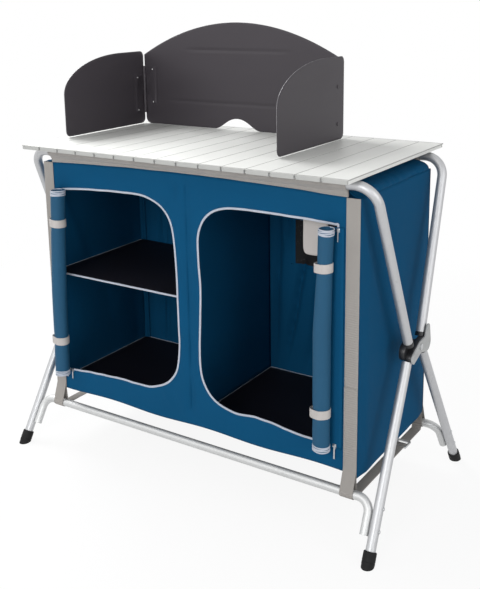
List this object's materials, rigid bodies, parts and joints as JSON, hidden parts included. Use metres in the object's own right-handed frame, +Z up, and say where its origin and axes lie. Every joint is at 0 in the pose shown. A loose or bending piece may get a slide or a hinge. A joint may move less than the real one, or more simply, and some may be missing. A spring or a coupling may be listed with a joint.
{
  "type": "camp kitchen unit",
  "caption": "Folding camp kitchen: slatted aluminium worktop on crossing tube legs, fabric cabinet with two rolled doors and a shelf, and a hinged sheet windscreen.",
  "frame": {"origin": "on the ground under the middle of the unit's footprint", "axes": "+X to the user's right, +Y to the rear, +Z up; the doors face -Y"},
  "size_m": [1.052, 0.563, 1.106],
  "materials": {
    "slat_metal": "satin anodised aluminium",
    "band_webbing": "black webbing",
    "tube_metal": "bright anodised aluminium tube",
    "crossbar_metal": "duller aluminium tube",
    "foot_rubber": "black rubber",
    "black_plastic": "moulded black plastic",
    "grey_plastic": "moulded grey plastic",
    "pin_steel": "plated steel rivet",
    "blue_polyester": "woven polyester, coated",
    "black_board": "black cloth over a stiff board",
    "grey_webbing": "grey webbing and cloth",
    "roll_polyester": "rolled polyester",
    "screen_steel": "dark grey painted sheet steel"
  },
  "bodies": {
    "front_frame": {"front_top_frame": "tube_metal", "rear_crossbar": "crossbar_metal", "rear_leg_left": "tube_metal", "rear_leg_right": "tube_metal", "rear_foot_left": "foot_rubber", "rear_foot_right": "foot_rubber", "inner_joint_left": "black_plastic", "inner_joint_right": "black_plastic", "pivot_pin_left": "pin_steel", "pivot_pin_right": "pin_steel"},
    "rear_frame": {"rear_top_frame": "tube_metal", "front_crossbar": "crossbar_metal", "front_leg_left": "tube_metal", "front_leg_right": "tube_metal", "front_foot_left": "foot_rubber", "front_foot_right": "foot_rubber", "outer_joint_left": "grey_plastic", "outer_joint_right": "grey_plastic", "rear_sleeve": "grey_webbing"},
    "cabinet": {"front_sleeve": "grey_webbing", "front_panel": "blue_polyester", "rear_panel": "blue_polyester", "side_panel_left": "blue_polyester", "side_panel_right": "blue_polyester", "divider_panel": "blue_polyester", "roof": "blue_polyester", "floor_board": "black_board", "shelf": "black_board", "door_roll_left": "roll_polyester", "door_roll_right": "roll_polyester", "front_corner_strap_left": "grey_webbing", "front_corner_strap_right": "grey_webbing", "rear_corner_strap_left": "grey_webbing", "rear_corner_strap_right": "grey_webbing", "bottom_strap_left": "grey_webbing", "bottom_strap_right": "grey_webbing"},
    "worktop": {"slat_01": "slat_metal", "slat_02": "slat_metal", "slat_03": "slat_metal", "slat_04": "slat_metal", "slat_05": "slat_metal", "slat_06": "slat_metal", "slat_07": "slat_metal", "slat_08": "slat_metal", "slat_09": "slat_metal", "slat_10": "slat_metal", "slat_11": "slat_metal", "slat_12": "slat_metal", "slat_13": "slat_metal", "slat_14": "slat_metal", "slat_15": "slat_metal", "front_top_band": "band_webbing", "rear_top_band": "band_webbing"},
    "windscreen": {"windscreen_back": "screen_steel", "windscreen_leaf_left": "screen_steel", "windscreen_leaf_right": "screen_steel"},
    "left_wing": {"windscreen_wing_left": "screen_steel", "wing_leaf_left": "screen_steel"},
    "right_wing": {"windscreen_wing_right": "screen_steel", "wing_leaf_right": "screen_steel"}
  },
  "joints": [
    {"name": "fold", "type": "hinge", "parent": "front_frame", "child": "rear_frame", "pos_m": [0, 0, 0.4], "axis": [1, 0, 0], "range_deg": [0, 47], "deforming": ["roof", "rear_panel", "side_panel_left", "side_panel_right", "divider_panel", "floor_board", "shelf", "front_corner_strap_left", "front_corner_strap_right", "rear_corner_strap_left", "rear_corner_strap_right", "bottom_strap_left", "bottom_strap_right"]},
    {"name": "cabinet_swing", "type": "hinge", "parent": "front_frame", "child": "cabinet", "pos_m": [0, -0.19, 0.7972], "axis": [1, 0, 0], "range_deg": [0, 23.5]},
    {"name": "worktop_lift", "type": "slide", "parent": "front_frame", "child": "worktop", "axis": [0, 0, 1], "range_m": [0, 0.185]},
    {"name": "windscreen_lift", "type": "slide", "parent": "worktop", "child": "windscreen", "axis": [0, 0, 1], "range_m": [0, 0.15]},
    {"name": "left_wing_swing", "type": "hinge", "parent": "windscreen", "child": "left_wing", "pos_m": [-0.425, 0.2016, 0.918], "axis": [0, 0, 1], "range_deg": [-30, 90]},
    {"name": "right_wing_swing", "type": "hinge", "parent": "windscreen", "child": "right_wing", "pos_m": [0.201, 0.2016, 0.918], "axis": [0, 0, 1], "range_deg": [-84.5, 30]}
  ],
  "couplings": [
    {"joint": "cabinet_swing", "follows": "fold", "ratio": 0.5},
    {"joint": "worktop_lift", "follows": "fold", "m_per_rad": 0.22}
  ]
}
